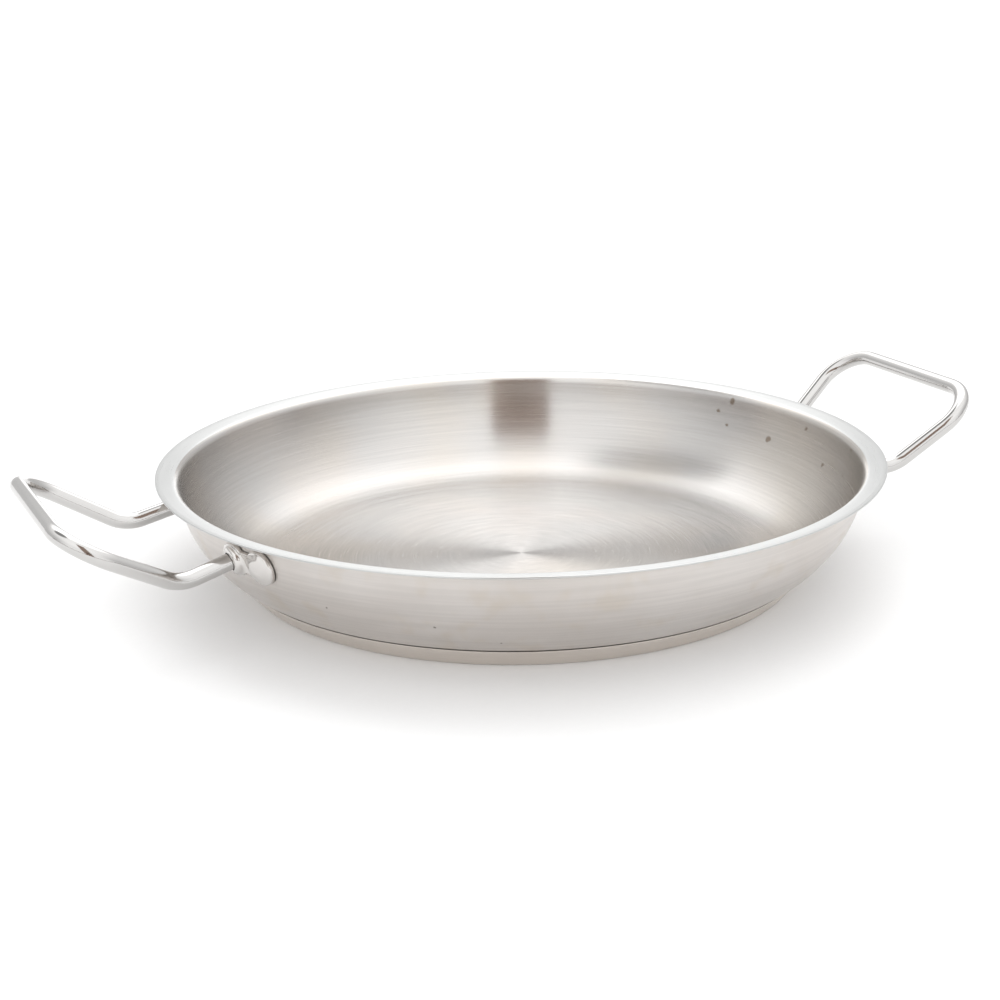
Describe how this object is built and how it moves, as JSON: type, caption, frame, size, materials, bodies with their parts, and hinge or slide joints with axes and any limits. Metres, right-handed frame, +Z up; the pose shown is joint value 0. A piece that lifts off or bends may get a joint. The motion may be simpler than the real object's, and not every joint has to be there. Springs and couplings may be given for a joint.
{
  "type": "two-handled pan",
  "caption": "Shallow stainless-steel serving pan with a flared wall, wide pouring rim, bonded sandwich base and fixed bent-rod loop handles.",
  "frame": {"origin": "centre of the flat underside of the base, on the pan's axis", "axes": "+Z up along the pan's axis; the handle loops point along +X and -X"},
  "size_m": [0.403, 0.3, 0.0628],
  "materials": {
    "satin_steel": "circular brushed satin",
    "base_steel": "fine turned satin",
    "polished_steel": "mirror polished stainless steel",
    "core_aluminium": "mill",
    "weld_steel": "dull weld metal"
  },
  "bodies": {
    "root": {"pan_shell": "satin_steel", "base_core": "core_aluminium", "base_cap": "base_steel", "handle_left": "polished_steel", "handle_right": "polished_steel", "bracket_left_front": "polished_steel", "bracket_left_rear": "polished_steel", "bracket_right_front": "polished_steel", "bracket_right_rear": "polished_steel", "bracket_welds": "weld_steel", "rod_end_welds": "weld_steel"}
  },
  "joints": []
}
